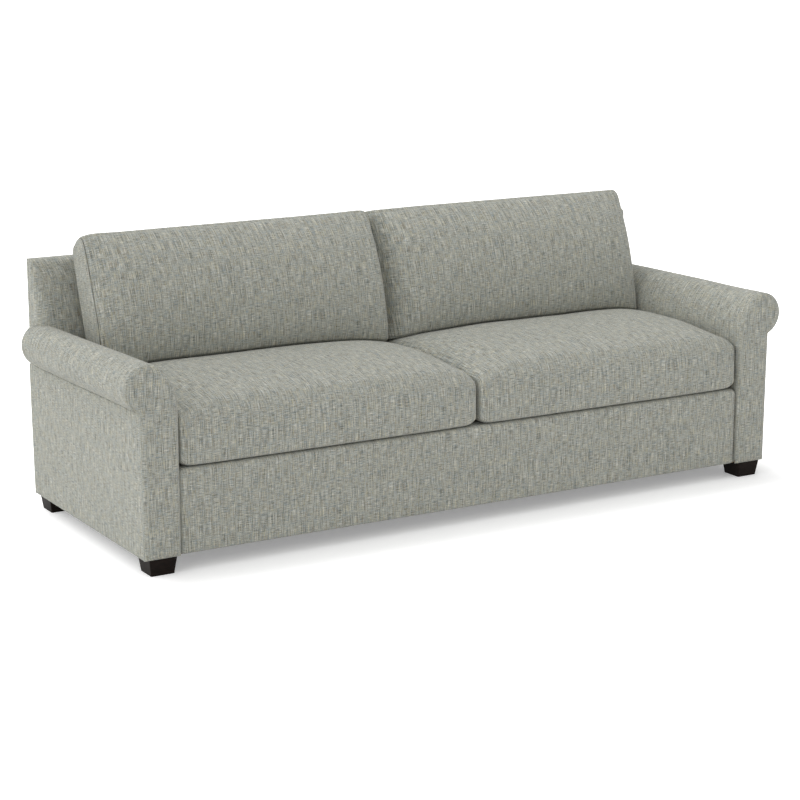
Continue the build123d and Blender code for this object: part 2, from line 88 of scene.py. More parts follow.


# White paper: glows evenly where it is seen, and less in an oblong under the sofa. That dip in the glow is
# painted shade: it darkens the floor there and lets the sofa's real soft shadow show.
shade_middle = (0.05, -0.09, 0.0)
shade_half = (1.1, 0.4, 0.0)
shade_fade = 0.3
shade_glow = 0.28
paper = bpy.data.materials.new("white_studio_paper")
paper.use_nodes = True
tree = paper.node_tree
tree.nodes.clear()
seen = seen_rays(tree)
spot = add(tree, "ShaderNodeNewGeometry")
under = add(
    tree, "ShaderNodeVectorMath", {0: spot.outputs["Position"]}, {1: shade_middle}, operation="SUBTRACT"
)
aside = add(tree, "ShaderNodeVectorMath", {0: under.outputs[0]}, operation="ABSOLUTE")
past = add(tree, "ShaderNodeVectorMath", {0: aside.outputs[0]}, {1: shade_half}, operation="SUBTRACT")
clear = add(tree, "ShaderNodeVectorMath", {0: past.outputs[0]}, {1: (0.0, 0.0, 0.0)}, operation="MAXIMUM")
reach = add(tree, "ShaderNodeVectorMath", {0: clear.outputs[0]}, operation="LENGTH")
# Painted shade: the glow is shade_glow inside the oblong and rises to 1 over shade_fade outside it.
far = add(
    tree,
    "ShaderNodeMapRange",
    {"Value": reach.outputs["Value"]},
    {"From Min": 0.0, "From Max": shade_fade, "To Min": shade_glow, "To Max": 1.0},
    interpolation_type="SMOOTHSTEP",
)
glow = add(tree, "ShaderNodeMath", {0: far.outputs[0], 1: seen}, operation="MULTIPLY")
matt = add(tree, "ShaderNodeBsdfDiffuse", values={"Color": linear("f4f4f4")})
light = add(tree, "ShaderNodeEmission", {"Strength": glow.outputs[0]})
both = add(tree, "ShaderNodeAddShader", {0: matt.outputs[0], 1: light.outputs[0]})
add(tree, "ShaderNodeOutputMaterial", {"Surface": both.outputs[0]})

floor_half = 60.0
floor_corners = [(x * floor_half, y * floor_half, 0.0) for x, y in ((-1, -1), (1, -1), (1, 1), (-1, 1))]
floor_mesh = bpy.data.meshes.new("floor")
floor_mesh.from_pydata(floor_corners, [], [(0, 1, 2, 3)])
floor_mesh.materials.append(paper)
floor = bpy.data.objects.new("floor", floor_mesh)
bpy.context.collection.objects.link(floor)

bright_side = (-0.87, 0.5, 0.0)
wall_dim = 0.72
wall_bright = 1.68
world = bpy.data.worlds.new("white_walls")
world.use_nodes = True
tree = world.node_tree
tree.nodes.clear()
seen = seen_rays(tree)
way = add(tree, "ShaderNodeTexCoord")
aside = add(
    tree, "ShaderNodeVectorMath", {0: way.outputs["Generated"]}, {1: bright_side}, operation="DOT_PRODUCT"
)
bright = add(
    tree,
    "ShaderNodeMapRange",
    {"Value": aside.outputs["Value"]},
    {"From Min": 0.0, "From Max": 1.0, "To Min": wall_dim, "To Max": wall_bright},
)
level = add(tree, "ShaderNodeMix", {0: seen, 2: bright.outputs[0]}, {3: 1.0}, data_type="FLOAT")
wall = add(tree, "ShaderNodeBackground", {"Strength": level.outputs[0]}, {"Color": linear("ffffff")})
add(tree, "ShaderNodeOutputWorld", {"Surface": wall.outputs[0]})
bpy.context.scene.world = world

lamp_data = bpy.data.lights.new("overhead_softbox", "AREA")
lamp_data.size = 3.2
lamp_data.energy = 19.0
lamp = bpy.data.objects.new("overhead_softbox", lamp_data)
lamp.location = (0.5, 0.1, 4.2)
lamp_target = Vector((0.4, 0.0, 0.4))
lamp.rotation_euler = (lamp_target - lamp.location).to_track_quat("-Z", "Y").to_euler()
bpy.context.collection.objects.link(lamp)

# Hidden frame: posts, rails and boards sawn from birch and plywood, glued and screwed,
# with triangular corner blocks. All of it is inside the upholstery.


def finish_named(name, **sockets):
    """Start a material with a Principled shader whose constant sockets are set."""
    material = bpy.data.materials.new(name)
    material.use_nodes = True
    shader = material.node_tree.nodes["Principled BSDF"]
    for key, value in sockets.items():
        shader.inputs[key.replace("_", " ")].default_value = value
    return material, material.node_tree, shader


def finish_solids(names, material):
    """Give solids that stay as they are their material."""
    for name in names:
        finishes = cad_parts[name].data.materials
        finishes.clear()
        finishes.append(material)


# Sawn birch: pale yellow-brown with level darker grain lines about 6 mm apart, which run about 90 mm
birch_grain = 0.006
birch_grain_run = 0.09
birch, tree, shader = finish_named("sawn_birch", Roughness=0.65)
spot = add(tree, "ShaderNodeTexCoord")
grain = add(
    tree,
    "ShaderNodeMapping",
    {"Vector": spot.outputs["Object"]},
    {"Scale": (1 / birch_grain_run, 1 / birch_grain_run, 1 / birch_grain)},
)
rings = add(
    tree,
    "ShaderNodeTexNoise",
    {"Vector": grain.outputs[0]},
    {"Scale": 1.0, "Detail": 4.0, "Distortion": 0.6},
)
tone = add(tree, "ShaderNodeValToRGB", {"Fac": rings.outputs["Fac"]})
tone.color_ramp.elements[0].position = 0.35
tone.color_ramp.elements[0].color = linear("a97c4c")
tone.color_ramp.elements[1].position = 0.62
tone.color_ramp.elements[1].color = linear("d8b583")
tree.links.new(tone.outputs["Color"], shader.inputs["Base Color"])
saw = add(
    tree, "ShaderNodeBump", {"Height": rings.outputs["Fac"]}, {"Strength": 0.2, "Distance": 0.0005}
)
tree.links.new(saw.outputs["Normal"], shader.inputs["Normal"])

frame_boards = ["front_rail", "rear_rail", "centre_stretcher", "corner_blocks", "centre_back_post"]
frame_boards += ["back_top_rail", "back_lower_rail"]
for side in ("left", "right"):
    for board in ("base_board", "front_post", "top_rail", "inside_board"):
        frame_boards.append(side + "_arm_" + board)
    frame_boards += [side + "_side_rail", side + "_back_post"]
finish_solids(frame_boards, birch)

# Springs, clips, screws, bolts and tee nuts: drawn steel wire and turned steel, zinc plated.
# The springs run from the front rail to the rear rail in clips nailed to both.
# Zinc plate: grey metal with a dull, slightly blotchy shine, in blotches of about 12 mm
zinc_blotch = 0.012
zinc, tree, shader = finish_named("zinc_plated_steel", Metallic=1.0)
spot = add(tree, "ShaderNodeTexCoord")
blotch = add(
    tree, "ShaderNodeTexNoise", {"Vector": spot.outputs["Object"]}, {"Scale": 1 / zinc_blotch, "Detail": 3.0}
)
tone = add(tree, "ShaderNodeValToRGB", {"Fac": blotch.outputs["Fac"]})
tone.color_ramp.elements[0].color = linear("8f9294")
tone.color_ramp.elements[1].color = linear("c3c5c4")
tree.links.new(tone.outputs["Color"], shader.inputs["Base Color"])
dull = add(tree, "ShaderNodeMapRange", {"Value": blotch.outputs["Fac"]}, {"To Min": 0.3, "To Max": 0.5})
tree.links.new(dull.outputs[0], shader.inputs["Roughness"])
finish_solids(("seat_springs", "spring_clips", "corner_block_screws", "foot_bolts_and_nuts"), zinc)

# Back webbing: twelve woven jute straps, 50 mm wide, tacked to the top and lower back rails
# behind the padding.
# Jute: coarse plain weave, straw brown, with 3 mm flecks of fibre. Its threads are about 2 mm apart and are
# drawn as cross ribs 12.6 mm apart. A wave pattern of scale 1 has 20 ribs in a length of two pi.
wave_length = math.tau / 20
jute_rib = 0.01257
jute_fibre = 0.003
jute, tree, shader = finish_named("woven_jute", Roughness=0.95)
spot = add(tree, "ShaderNodeTexCoord")
ribs = add(
    tree,
    "ShaderNodeTexWave",
    {"Vector": spot.outputs["Object"]},
    {"Scale": wave_length / jute_rib, "Distortion": 1.5},
    bands_direction="Z",
)
fibre = add(
    tree, "ShaderNodeTexNoise", {"Vector": spot.outputs["Object"]}, {"Scale": 1 / jute_fibre, "Detail": 3.0}
)
mix = add(tree, "ShaderNodeMath", {0: ribs.outputs["Fac"], 1: fibre.outputs["Fac"]}, operation="MULTIPLY")
tone = add(tree, "ShaderNodeValToRGB", {"Fac": mix.outputs[0]})
tone.color_ramp.elements[0].color = linear("7d6443")
tone.color_ramp.elements[1].color = linear("c5a877")
tree.links.new(tone.outputs["Color"], shader.inputs["Base Color"])
rough = add(tree, "ShaderNodeBump", {"Height": mix.outputs[0]}, {"Strength": 0.5, "Distance": 0.001})
tree.links.new(rough.outputs["Normal"], shader.inputs["Normal"])
finish_solids(["back_webbing"], jute)

# Dust cover: black non-woven cloth stapled under the frame from rail to rail, pulled tight.
# The feet are bolted on through it.


def panel(name, rows, flip, lay=None):
    """Sheet of cloth from rows of points. Its UVs are lengths along the cloth in metres."""
    wide = len(rows[0])
    faces = []
    for i in range(len(rows) - 1):
        for j in range(wide - 1):
            a = i * wide + j
            quad = (a, a + 1, a + wide + 1, a + wide)
            faces.append(quad[::-1] if flip else quad)
    mesh = bpy.data.meshes.new(name)
    mesh.from_pydata([p for row in rows for p in row], [], faces)
    middle = rows[len(rows) // 2]
    across = [0.0]
    for j in range(1, wide):
        across.append(across[-1] + (Vector(middle[j]) - Vector(middle[j - 1])).length)
    along = [0.0]
    for i in range(1, len(rows)):
        along.append(along[-1] + (Vector(rows[i][wide // 2]) - Vector(rows[i - 1][wide // 2])).length)
    layer = mesh.uv_layers.new(name="cloth")
    for loop in mesh.loops:
        v = loop.vertex_index
        layer.data[loop.index].uv = lay[v] if lay else (across[v % wide], along[v // wide])
    return mesh


def fit(name, mesh, finish, body, slot, *nodes):
    """Make a piece of the mesh, give it its finish and fix it to the body in place of the nodes."""
    mesh.materials.append(finish)
    for face in mesh.polygons:
        face.use_smooth = True
    piece = bpy.data.objects.new(name, mesh)
    bpy.context.collection.objects.link(piece)
    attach(piece, body)
    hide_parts(*nodes)
    return piece


# Spunbonded polypropylene: flat black cloth of pressed fibres with a random fleck of about 4 mm
dust_fleck = 0.004
spunbond, tree, shader = finish_named("spunbonded_dust_cloth", Roughness=0.9)
spot = add(tree, "ShaderNodeTexCoord")
fleck = add(
    tree, "ShaderNodeTexNoise", {"Vector": spot.outputs["Object"]}, {"Scale": 1 / dust_fleck, "Detail": 4.0}
)
tone = add(tree, "ShaderNodeValToRGB", {"Fac": fleck.outputs["Fac"]})
tone.color_ramp.elements[0].color = linear("161616")
tone.color_ramp.elements[1].color = linear("2e2e2e")
tree.links.new(tone.outputs["Color"], shader.inputs["Base Color"])
press = add(
    tree, "ShaderNodeBump", {"Height": fleck.outputs["Fac"]}, {"Strength": 0.3, "Distance": 0.0004}
)
tree.links.new(press.outputs["Normal"], shader.inputs["Normal"])

dust_thick = 0.0008
dust_columns = 30
dust_rows = 12
low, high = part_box("dust_cover")
dust_wide = high[0] - low[0]
dust_long = high[1] - low[1]
rows = []
for i in range(dust_rows + 1):
    row = []
    for j in range(dust_columns + 1):
        x = low[0] + dust_wide * j / dust_columns
        y = low[1] + dust_long * i / dust_rows
        row.append((x, y, (low[2] + high[2]) / 2))
    rows.append(row)
mesh = panel("dust_cover_cloth", rows, True)
dust_cover = fit("dust_cover_cloth", mesh, spunbond, "sofa_frame", "dust_cloth", "dust_cover")
dust_cover.modifiers.new("thickness", "SOLIDIFY").thickness = dust_thick

# Deck: a thin foam pad on the springs under plain cotton decking, sewn to the front border
# and pulled down behind the seat. It shows when a seat cushion is taken out.


def spaced(length, step, first, last):
    """Distances along one side of a form: close together on its rounded edges, even between them."""
    near = (0.0, 0.12, 0.3, 0.5, 0.75, 1.0)
    count = max(1, round((length - first - last) / step))
    even = [first + (length - first - last) * i / count for i in range(1, count)]
    return [first * n for n in near] + even + [length - last * n for n in reversed(near)]


def stuffed(name, low, high, rounds, steps, shape):
    """Closed padded form over a box, and the points of the seams round its two ends.
    Rounds are the edge radii at -X, +X, -Y, +Y, -Z and +Z, and steps the spacing of points along each side.
    Shape moves each rounded point; it is also given how far the point is along X, Y and Z, from 0 to 1.
    """
    ticks = [spaced(high[k] - low[k], steps[k], rounds[2 * k], rounds[2 * k + 1]) for k in range(3)]
    last = [len(t) - 1 for t in ticks]
    points = []
    found = {}
    seams = []

    def corner(*at):
        """Number of the rounded point at a place in the grid. It is made when it is first asked for."""
        if at in found:
            return found[at]
        core = []
        swing = []
        radii = []
        for k in range(3):
            here = low[k] + ticks[k][at[k]]
            inner = min(max(here, low[k] + rounds[2 * k]), high[k] - rounds[2 * k + 1])
            radius = rounds[2 * k] if here < inner else rounds[2 * k + 1]
            core.append(inner)
            radii.append(radius)
            swing.append((here - inner) / radius)
        size = math.sqrt(sum(s * s for s in swing))
        place = [core[k] + radii[k] * swing[k] / size for k in range(3)]
        share = [ticks[k][at[k]] / ticks[k][-1] for k in range(3)]
        found[at] = len(points)
        points.append(shape(place, share))
        if at[0] in (0, last[0]) and (at[1] in (0, last[1]) or at[2] in (0, last[2])):
            seams.append(found[at])
        return found[at]

    faces = []
    lays = []
    tall = ticks[2][-1]
    deep = ticks[1][-1]
    end_panels_at = 2.0
    sides = [(0, 0, 1, 2), (0, 1, 1, 2), (1, 0, 0, 2), (1, 1, 0, 2), (2, 0, 0, 1), (2, 1, 0, 1)]
    for fixed, end, a, b in sides:
        turn = (end == 1) == (fixed != 1)
        for i in range(last[a]):
            for j in range(last[b]):
                quad = []
                lay = []
                for di, dj in ((0, 0), (1, 0), (1, 1), (0, 1)):
                    at = [0, 0, 0]
                    at[fixed] = last[fixed] * end
                    at[a] = i + di
                    at[b] = j + dj
                    quad.append(corner(*at))
                    u = ticks[a][i + di]
                    v = ticks[b][j + dj]
                    if fixed == 2:
                        v = tall + v if end else -v
                    if fixed == 1 and end:
                        v = tall + deep + tall - v
                    if fixed == 0:
                        u += end_panels_at + end
                    lay.append((u, v))
                if not turn:
                    quad.reverse()
                    lay.reverse()
                faces.append(quad)
                lays += lay
    mesh = bpy.data.meshes.new(name)
    mesh.from_pydata(points, [], faces)
    layer = mesh.uv_layers.new(name="cloth")
    for loop in mesh.loops:
        layer.data[loop.index].uv = lays[loop.index]
    return mesh, seams


# Cotton decking: close plain weave in grey-green, threads drawn 3 mm apart so that they show
decking_thread = 0.003
decking_run = 0.03
decking, tree, shader = finish_named("cotton_decking", Roughness=0.95)
lengths = add(tree, "ShaderNodeUVMap", uv_map="cloth")
tones = []
for wide, long in ((decking_thread, decking_run), (decking_run, decking_thread)):
    lay = add(
        tree, "ShaderNodeMapping", {"Vector": lengths.outputs[0]}, {"Scale": (1 / wide, 1 / long, 1.0)}
    )
    tones.append(add(tree, "ShaderNodeTexNoise", {"Vector": lay.outputs[0]}, {"Scale": 1.0, "Detail": 2.0}))
mix = add(tree, "ShaderNodeMath", {0: tones[0].outputs["Fac"], 1: tones[1].outputs["Fac"]})
half = add(tree, "ShaderNodeMath", {0: mix.outputs[0]}, {1: 0.5}, operation="MULTIPLY")
tone = add(tree, "ShaderNodeValToRGB", {"Fac": half.outputs[0]})
tone.color_ramp.elements[0].position = 0.3
tone.color_ramp.elements[0].color = linear("85887d")
tone.color_ramp.elements[1].position = 0.7
tone.color_ramp.elements[1].color = linear("a0a398")
tree.links.new(tone.outputs["Color"], shader.inputs["Base Color"])
weave = add(tree, "ShaderNodeBump", {"Height": half.outputs[0]}, {"Strength": 0.3, "Distance": 0.0006})
tree.links.new(weave.outputs["Normal"], shader.inputs["Normal"])


def drift(point, size, amount):
    """Slow rise and fall of a stuffed surface, as uneven padding gives it."""
    return amount * noise.noise(Vector(point) / size)


deck_round = 0.004
deck_steps = (0.04, 0.04, 0.02)
deck_wave = 0.15
deck_wave_rise = 0.0012
low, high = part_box("deck_padding")
high = (high[0], high[1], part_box("deck_cloth")[1][2])


def deck_shape(place, share):
    """The deck's top rises and falls a little over the springs."""
    x, y, z = place
    lift = drift((x, y, 0.0), deck_wave, deck_wave_rise) * share[2]
    return (x, y, z + lift)


mesh, _ = stuffed("deck", low, high, [deck_round] * 6, deck_steps, deck_shape)
deck = fit("deck", mesh, decking, "sofa_frame", "decking", "deck_cloth", "deck_padding")

# Front border: tweed over a thin foam pad on the front rail, pulled over the top edge to the deck seam,
# tucked in at both arms and stapled under the rail.

# Tweed: a heathered plain weave of sage, blue-grey, cream and brown yarns with slubs.
# Woven matt, so it has no shine, only a faint bloom at the edges. The yarns are about 1 mm thick and are
# drawn 1 to 2 mm wide. Lengthwise yarns show as thin streaks and cross yarns as shorter ones.
tweed, tree, shader = finish_named("heathered_tweed", Roughness=0.95)
shader.inputs["Specular IOR Level"].default_value = 0.2
shader.inputs["Sheen Weight"].default_value = 0.12
shader.inputs["Sheen Roughness"].default_value = 0.6
lengths = add(tree, "ShaderNodeUVMap", uv_map="cloth")
threads = {}
for thread, wide, long in (
    ("warp", 0.0012, 0.045),
    ("weft", 0.026, 0.0012),
    ("streak", 0.0016, 0.16),
    ("slub", 0.002, 0.04),
    ("dye", 0.02, 0.002),
    ("fibre", 0.0016, 0.0016),
):
    lay = add(
        tree, "ShaderNodeMapping", {"Vector": lengths.outputs[0]}, {"Scale": (1 / wide, 1 / long, 1.0)}
    )
    yarns = add(
        tree,
        "ShaderNodeTexNoise",
        {"Vector": lay.outputs[0]},
        {"Scale": 1.0, "Detail": 1.5, "Roughness": 0.55},
    )
    threads[thread] = yarns.outputs["Fac"]
cloth_tone = add(tree, "ShaderNodeMath", {0: threads["warp"]}, {1: 0.27}, operation="MULTIPLY")
for thread, part in (("weft", 0.31), ("streak", 0.16), ("fibre", 0.26)):
    cloth_tone = add(
        tree,
        "ShaderNodeMath",
        {0: threads[thread], 2: cloth_tone.outputs[0]},
        {1: part},
        operation="MULTIPLY_ADD",
    )
yarn = add(tree, "ShaderNodeValToRGB", {"Fac": cloth_tone.outputs[0]})
yarn.color_ramp.elements[0].position = 0.39
yarn.color_ramp.elements[0].color = linear("363732")
yarn.color_ramp.elements[1].position = 0.61
yarn.color_ramp.elements[1].color = linear("f0eee4")
for position, code in ((0.45, "797c75"), (0.5, "a0a299"), (0.55, "bfbfb5")):
    yarn.color_ramp.elements.new(position).color = linear(code)
cloth_colour = yarn.outputs["Color"]
blue, brown, cream = (linear(code) for code in ("8499a6", "93805f", "d6caa2"))
for thread, start, full, part, colour in (
    ("dye", 0.5, 0.66, 0.5, blue),
    ("slub", 0.54, 0.68, 0.45, brown),
    ("slub", 0.45, 0.32, 0.45, cream),
):
    tint = add(
        tree,
        "ShaderNodeMapRange",
        {"Value": threads[thread]},
        {"From Min": start, "From Max": full, "To Max": part},
    )
    dyed = add(tree, "ShaderNodeMix", {0: tint.outputs[0], 6: cloth_colour}, {7: colour}, data_type="RGBA")
    cloth_colour = dyed.outputs[2]
tree.links.new(cloth_colour, shader.inputs["Base Color"])
weave = add(tree, "ShaderNodeBump", {"Height": cloth_tone.outputs[0]}, {"Strength": 0.3, "Distance": 0.0004})
tree.links.new(weave.outputs["Normal"], shader.inputs["Normal"])

border_rounds = (0.02, 0.02, 0.016, 0.004, 0.008, 0.02)
border_steps = (0.04, 0.02, 0.03)
border_wave = 0.22
border_wave_rise = 0.0015
low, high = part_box("front_border_cover")


def border_shape(place, share):
    """The border's face swells and sinks a little over its pad."""
    x, y, z = place
    face = drift((x, 0.0, z), border_wave, border_wave_rise) * (1.0 - share[1])
    return (x, y + face, z)


def smoothed(*pieces):
    """Round off the facets of cloth pieces."""
    for piece in pieces:
        piece.modifiers.new("smooth", "SUBSURF").render_levels = 1


mesh, _ = stuffed("front_border", low, high, border_rounds, border_steps, border_shape)
nodes = ["front_border_cover", "front_border_padding"]
border = fit("front_border", mesh, tweed, "sofa_frame", "tweed", *nodes)
smoothed(border)

# Arms: tweed over foam on a shaped post and boards. One piece goes up the inside face and over the roll
# to the groove, a flat panel closes the outside, and a padded facing is blind sewn to the front.
arm_inner = 1.038
arm_outer = 1.1588
arm_flare = 0.0028
arm_bottom = 0.051
curve_foot = 0.498
roll_radius = 0.073
roll_x = 1.133
roll_z = 0.562
roll_end = 0.388
roll_end_round = 0.014
arm_drop = 0.009
arm_tilt = 0.015
tilt_half = 0.03
fall_foot = 0.25
fall_rise = 0.2
arm_tuck = 0.008
tuck_width = 0.014
tuck_start = 0.266
arm_front = -0.440
facing_back = -0.426
facing_round = 0.02
facing_calm = 0.06
facing_columns = 7
sofa_rear = 0.440
outside_rear = sofa_rear - 0.004
hem_round = 0.004
hem_turn = 0.04
hem_flat = 0.012
hem_calm_foot = 0.06
hem_calm = 0.05
groove_lip = 0.004
roll_wave = 0.2
roll_wave_rise = 0.0018
outside_wave = 0.25
outside_wave_rise = 0.002
outside_swell = 0.001
rim_shares = (0.0, 0.04, 0.14, 0.3, 0.52, 0.76, 1.0)
back_top = 0.822
back_top_depth = 0.045
back_slope = math.tan(math.radians(17.6))
end_x = 1.1555
curve_span = roll_x - arm_inner
curve_rise = roll_z - curve_foot
curve_radius = (curve_span**2 + curve_rise**2 - roll_radius**2) / (2 * (curve_span - roll_radius))
curve_x = arm_inner + curve_radius
meet_z = roll_z + roll_radius * curve_rise / (curve_radius - roll_radius)
groove_z = roll_z - math.sqrt(roll_radius**2 - (arm_outer - roll_x) ** 2)


def clamped(value):
    """Keep a share from 0 to 1."""
    return min(1.0, max(0.0, value))


def arm_fall(side, x, y, z):
    """The arms drop a little towards the back, and the left one is pressed down more on its inner side."""
    inner = clamped((roll_x + tilt_half - x) / (2 * tilt_half))
    drop = arm_drop + (arm_tilt * inner if side == "left" else 0.0)
    drop *= (y - facing_back) / (roll_end - facing_back)
    return -drop * clamped((z - fall_foot) / fall_rise)


def inside_back(z):
    """Y of the raked inside back at height z."""
    return sofa_rear - back_top_depth - (back_top - z) * back_slope


def tucked(x, y, z):
    """How far the roll's cover is drawn in where it meets the inside back and the back's end panel."""
    if z < curve_foot:
        return 0.0
    gap = abs(y - inside_back(z)) if x < end_x else 1.0
    if y > inside_back(z) and z > roll_z:
        gap = min(gap, abs(x - end_x))
    return arm_tuck * clamped(1.0 - gap / tuck_width)


def arm_edges(z):
    """X of the inner and the outer edge of the arm's section at height z."""
    round_x = math.sqrt(max(0.0, roll_radius**2 - (z - roll_z) ** 2))
    inner = arm_inner
    if z > meet_z:
        inner = roll_x - round_x
    elif z > curve_foot:
        inner = curve_x - math.sqrt(curve_radius**2 - (z - curve_foot) ** 2)
    outer = roll_x + round_x
    if z < groove_z:
        outer = arm_outer - arm_flare * (groove_z - z) / (groove_z - arm_bottom)
    return inner, outer


def rolled(gap, radius):
    """How far a rounded edge has turned back at a distance from its end."""
    return radius - math.sqrt(radius**2 - max(0.0, radius - gap) ** 2)


def narrowed(radius, top_radius, drop):
    """Radius of a rounded edge that narrows over the last 60 mm below the top."""
    narrow_run = 0.06
    return radius + (top_radius - radius) * max(0.0, 1.0 - drop / narrow_run)


def padded_face(name, levels, span, edge, radius, place, flip, middle, top_radius=None):
    """Padded panel across the span at each level. It rolls back by the radius as it nears the edge."""
    rim = [(edge(z)[0], z) for z in levels] + [(edge(z)[1], z) for z in reversed(levels)]
    rim = [Vector(p) for p in rim]
    near = [radius * n for n in rim_shares]
    rows = []
    lay = []
    for z in levels:
        a, b = span(z)
        scale = min(1.0, (b - a) / (3.0 * radius))
        inset = [n * scale for n in near]
        even = [inset[-1] + (b - a - 2 * inset[-1]) * i / middle for i in range(1, middle)]
        row = []
        for d in inset + even + [b - a - n for n in reversed(inset)]:
            spot = Vector((a + d, z))
            back = 0.0
            for i in range(len(rim)):
                p = rim[i - 1]
                q = rim[i] - p
                t = clamped((spot - p).dot(q) / max(q.length_squared, 1e-12))
                gap = (spot - p - q * t).length
                turn = narrowed(radius, top_radius or radius, levels[-1] - rim[i].y)
                back = max(back, rolled(gap, turn))
            row.append(place(a + d, z, back))
            lay.append((a + d + (back if d > (b - a) / 2 else -back), z))
        rows.append(row)
    return panel(name, rows, flip, lay)


def welded(mesh):
    """Join the points that meet where a panel runs to a tip."""
    joined_within = 0.00002
    shell = bmesh.new()
    shell.from_mesh(mesh)
    bmesh.ops.remove_doubles(shell, verts=shell.verts, dist=joined_within)
    shell.to_mesh(mesh)
    shell.free()
    return mesh


# Heights of the facing's points: close together at the hem, at the groove and towards the top
arm_levels = [arm_bottom + d for d in (0.0, 0.0006, 0.002, 0.0045, 0.0075, 0.0105, 0.014, 0.02)]
arm_levels += [0.09 + 0.026 * i for i in range(15)]
arm_levels += [0.472, 0.482, 0.488, 0.4912, groove_z, 0.495, 0.498, 0.503, 0.51, 0.52, 0.532, 0.545, 0.558]
for degrees in (4, 11, 18, 25, 32, 39, 46, 53, 59, 65, 70, 75, 79, 83, 86.5, 90):
    arm_levels.append(roll_z + roll_radius * math.sin(math.radians(degrees)))

# Section of the inside cover: up the inner face, round the curve and over the roll into the groove
roll_foot = arm_bottom + 0.002
roll_path = [(arm_inner, roll_foot + (curve_foot - roll_foot) * i / 20) for i in range(21)]
for i in range(1, 13):
    z = curve_foot + (meet_z - curve_foot) * i / 12
    roll_path.append((arm_edges(z)[0], z))
start = math.atan2(meet_z - roll_z, -math.sqrt(roll_radius**2 - (meet_z - roll_z) ** 2))
stop = math.atan2(groove_z - roll_z, arm_outer - roll_x) - math.radians(9)
for i in range(1, 37):
    turn = start + (stop - start) * i / 36
    roll_path.append((roll_x + roll_radius * math.cos(turn), roll_z + roll_radius * math.sin(turn)))

# Places along the arm, and how far the cover is drawn in at each to close the roll's rear end
roll_run = [(facing_back + (tuck_start - facing_back) * j / 30, 0.0) for j in range(31)]
roll_run += [(tuck_start + (roll_end - roll_end_round - tuck_start) * j / 18, 0.0) for j in range(1, 19)]
for degrees in (15, 30, 45, 60, 75, 90):
    bend = math.radians(degrees)
    y = roll_end - roll_end_round * (1 - math.sin(bend))
    roll_run.append((y, roll_end_round * (1 - math.cos(bend))))
for bulge, shrink in ((0.001, 0.045), (0.0015, 0.058), (0.002, 0.07)):
    roll_run.append((roll_end + bulge, shrink))

for side, sx in (("left", -1.0), ("right", 1.0)):
    rows = []
    for x, z in roll_path:
        away = Vector((-1.0, 0.0))
        if x > arm_inner:
            away = Vector((x - roll_x, z - roll_z)).normalized()
        row = []
        for y, shrink in roll_run:
            calm = min(1.0, (y - facing_back) / facing_calm)
            swell = drift((sx * x, y, z), roll_wave, roll_wave_rise) * calm
            swell -= max(shrink, tucked(x, y, z))
            row.append((sx * (x + away.x * swell), y, z + away.y * swell + arm_fall(side, x, y, z)))
        rows.append(row)
    mesh = panel(side + "_arm_roll", rows, sx > 0)
    nodes = [side + "_arm_" + n for n in ("inside_cover", "inside_padding", "roll_padding")]
    roll = fit(side + "_arm_roll", mesh, tweed, "sofa_frame", "tweed", *nodes)

    hem_x = arm_edges(arm_bottom)[1]
    outside_path = [(hem_x - hem_turn, arm_bottom + 0.0005), (hem_x - hem_flat, arm_bottom)]
    for degrees in (90, 67, 45, 22, 0):
        bend = math.radians(degrees)
        drop = hem_round * (1 - math.sin(bend))
        outside_path.append((hem_x - hem_round * (1 - math.cos(bend)), arm_bottom + drop))
    for i in range(1, 20):
        z = arm_bottom + hem_round + (groove_z - groove_lip - arm_bottom - hem_round) * i / 19
        outside_path.append((arm_edges(z)[1], z))
    for inset, drop in ((0.0008, 0.0015), (0.004, -0.0005), (0.012, -0.001)):
        outside_path.append((arm_outer - inset, groove_z - drop))
    rows = []
    for x, z in outside_path:
        row = []
        for j in range(30):
            y = facing_back + (outside_rear - facing_back) * j / 29
            calm = min(1.0, (y - facing_back) / facing_calm, max(0.0, z - hem_calm_foot) / hem_calm)
            swell = (drift((sx * x, y, z), outside_wave, outside_wave_rise) + outside_swell) * calm
            row.append((sx * (x + swell), y, z + arm_fall(side, x, y, z)))
        rows.append(row)
    mesh = panel(side + "_arm_outside", rows, sx < 0)
    outside = fit(side + "_arm_outside", mesh, tweed, "sofa_frame", "tweed", side + "_arm_outside_panel")

    def facing_point(x, z, back):
        """Place on the facing. Its edge turns back as far as the roll's front."""
        return (sx * x, arm_front + back * (facing_back - arm_front) / facing_round, z)

    mesh = padded_face(
        side + "_arm_facing",
        arm_levels,
        arm_edges,
        arm_edges,
        facing_round,
        facing_point,
        sx < 0,
        facing_columns,
    )
    facing = fit(side + "_arm_facing", welded(mesh), tweed, "sofa_frame", "tweed", side + "_arm_front_panel")
    smoothed(roll, outside, facing)

# Back: tweed over padding and webbing between the posts. One piece covers the raked inside and the top,
# two padded end panels close it beside the arms, and a flat outside back is sewn on last.
back_round = 0.018
end_round = 0.032
end_top_round = 0.005
end_foot = 0.48
end_level_step = 0.023
arm_covers_end = 0.52
end_columns = 5
rear_round = 0.006
rear_columns = 48
rear_level_foot = 0.08
rear_level_step = 0.035
back_foot = 0.286
back_level_step = 0.0321
back_wave = 0.25
back_wave_rise = 0.002
back_wave_lift = 0.3
back_calm = 0.1


def back_span(z):
    """Y of the front and rear edge of the back's end at height z."""
    front = inside_back(z)
    drop = back_top - z
    if drop < back_round:
        front += back_round - math.sqrt(back_round**2 - (back_round - drop) ** 2)
    return front, sofa_rear - rear_round


